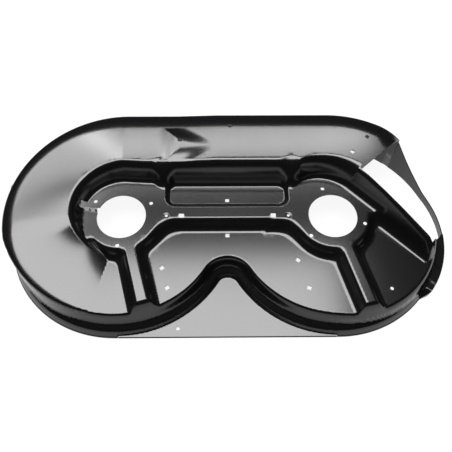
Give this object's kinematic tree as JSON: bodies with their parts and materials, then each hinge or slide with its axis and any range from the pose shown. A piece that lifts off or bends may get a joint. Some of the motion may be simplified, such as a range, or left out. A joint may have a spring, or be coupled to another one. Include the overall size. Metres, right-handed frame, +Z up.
{
  "type": "lawn mower deck shell",
  "caption": "Pressed steel mower deck shell with a raised volute tunnel, spindle plates joined by a strip, ribs, round rear lobes and a side discharge opening.",
  "frame": {"origin": "middle of the footprint, on the plane of the open rim", "axes": "+X to the discharge side, +Y to the front of the machine, +Z up through the spindles"},
  "size_m": [1.1352, 0.578, 0.152],
  "materials": {
    "black_paint": "semi-gloss black paint"
  },
  "bodies": {
    "root": {"deck_shell": "black_paint"}
  },
  "joints": []
}
